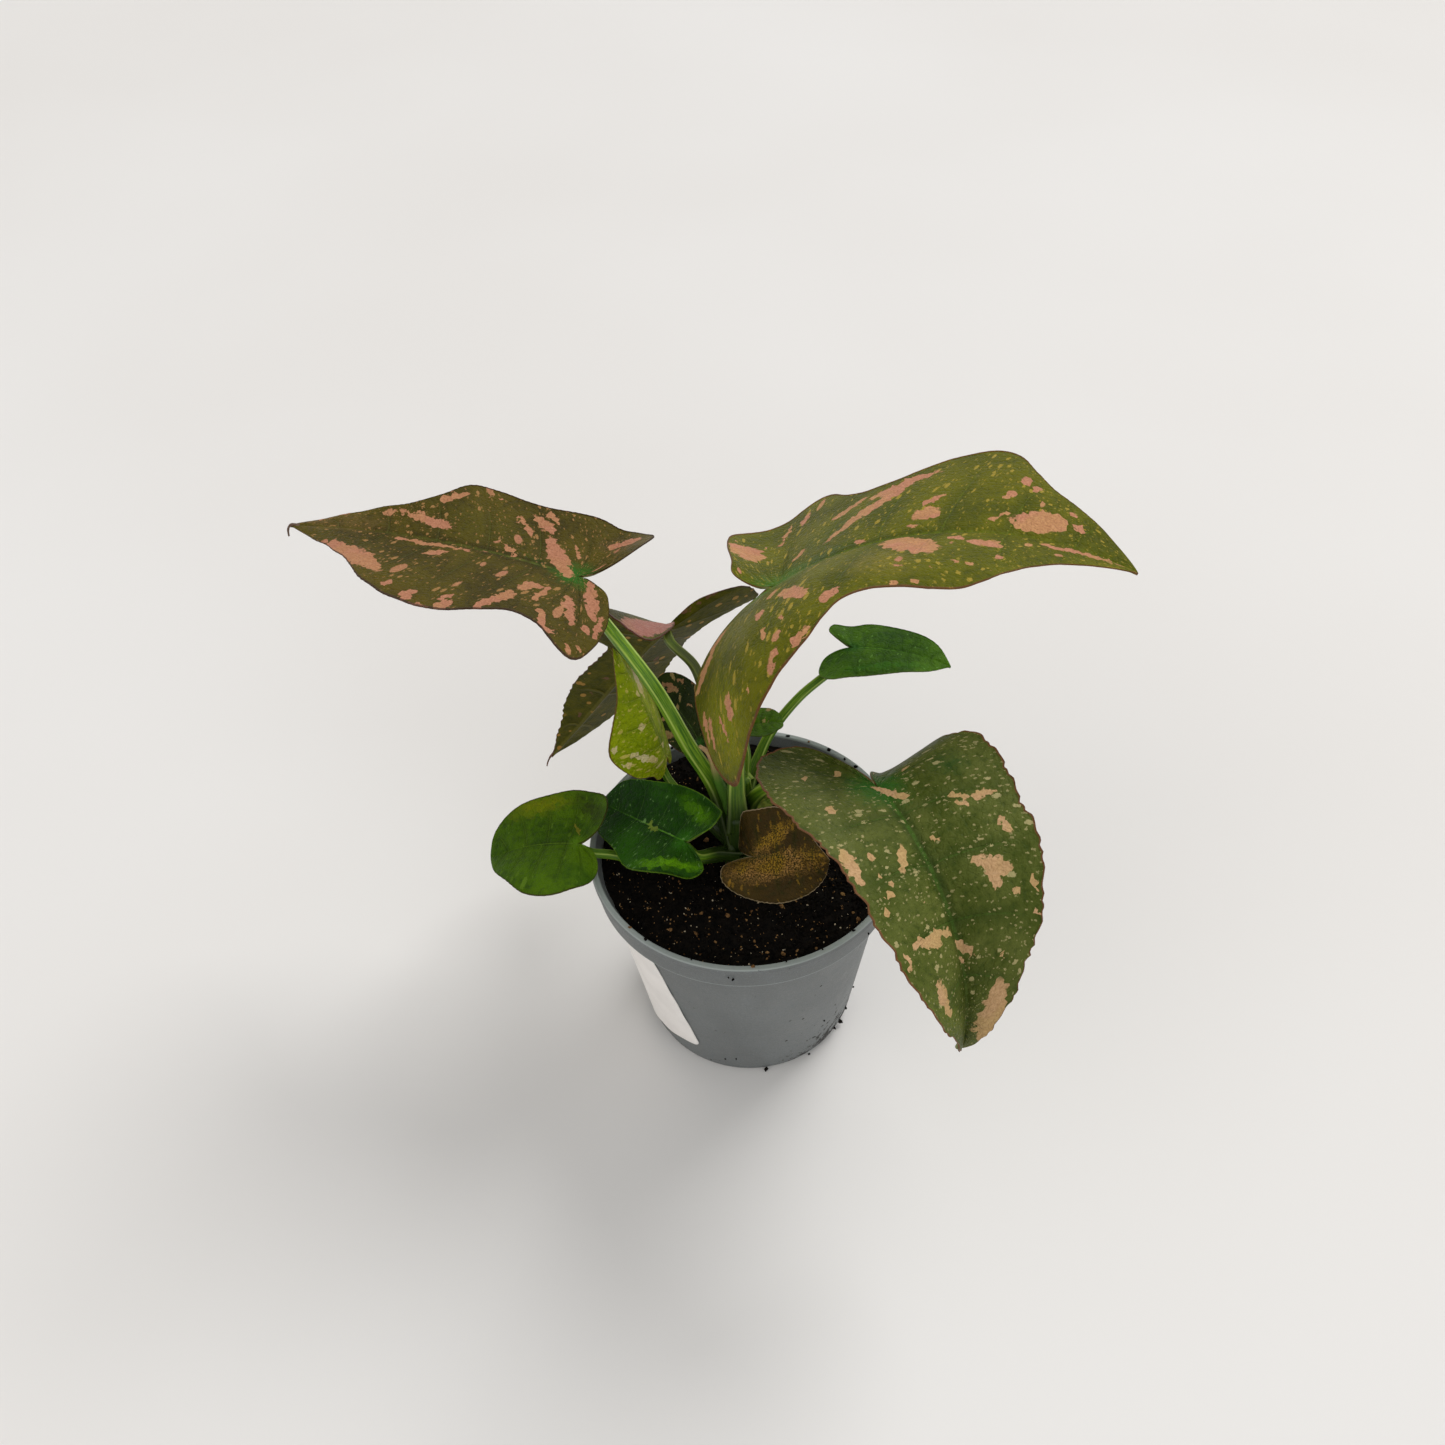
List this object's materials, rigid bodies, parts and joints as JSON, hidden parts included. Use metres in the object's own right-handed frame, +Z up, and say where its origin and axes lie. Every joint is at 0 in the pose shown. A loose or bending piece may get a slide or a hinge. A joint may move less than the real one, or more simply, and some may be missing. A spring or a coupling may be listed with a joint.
{
  "type": "potted syngonium plant",
  "caption": "Small arrowhead-leaved houseplant with pink-splashed leaves on arching stalks, growing in dark soil in a tapered nursery pot.",
  "frame": {"origin": "centre of the pot's base, on the surface that it stands on", "axes": "+Z up; +Y to the back of the plant as it is seen in the picture, +X to its right"},
  "size_m": [0.1506, 0.1074, 0.1129],
  "materials": {
    "pot_grey": "grey moulded nursery pot plastic, lightly scuffed",
    "label_white": "blank white adhesive label",
    "peat": "dark damp peat with bark crumbs",
    "stem_green": "satin green living stalk",
    "dry_brown": "papery dried leaf sheath",
    "leaf_dark": "dark olive leaf with pink splashes, satin",
    "leaf_olive": "yellow-olive leaf with pink streaks, satin",
    "leaf_bright": "bright green leaf, satin"
  },
  "bodies": {
    "root": {"pot": "pot_grey", "pot_label": "label_white", "soil": "peat", "front_shoot": "stem_green", "back_shoot": "stem_green", "dry_sheath": "dry_brown", "blade_left_large": "leaf_dark", "blade_right_large": "leaf_olive", "blade_front_large": "leaf_dark", "blade_back_hanging": "leaf_dark", "blade_young_upright": "leaf_olive", "blade_dark_back": "leaf_dark", "blade_small_back": "leaf_bright", "blade_small_right": "leaf_bright", "blade_front_round": "leaf_dark", "blade_front_heart": "leaf_bright", "blade_left_round": "leaf_bright", "blade_bud": "leaf_bright"}
  },
  "joints": []
}
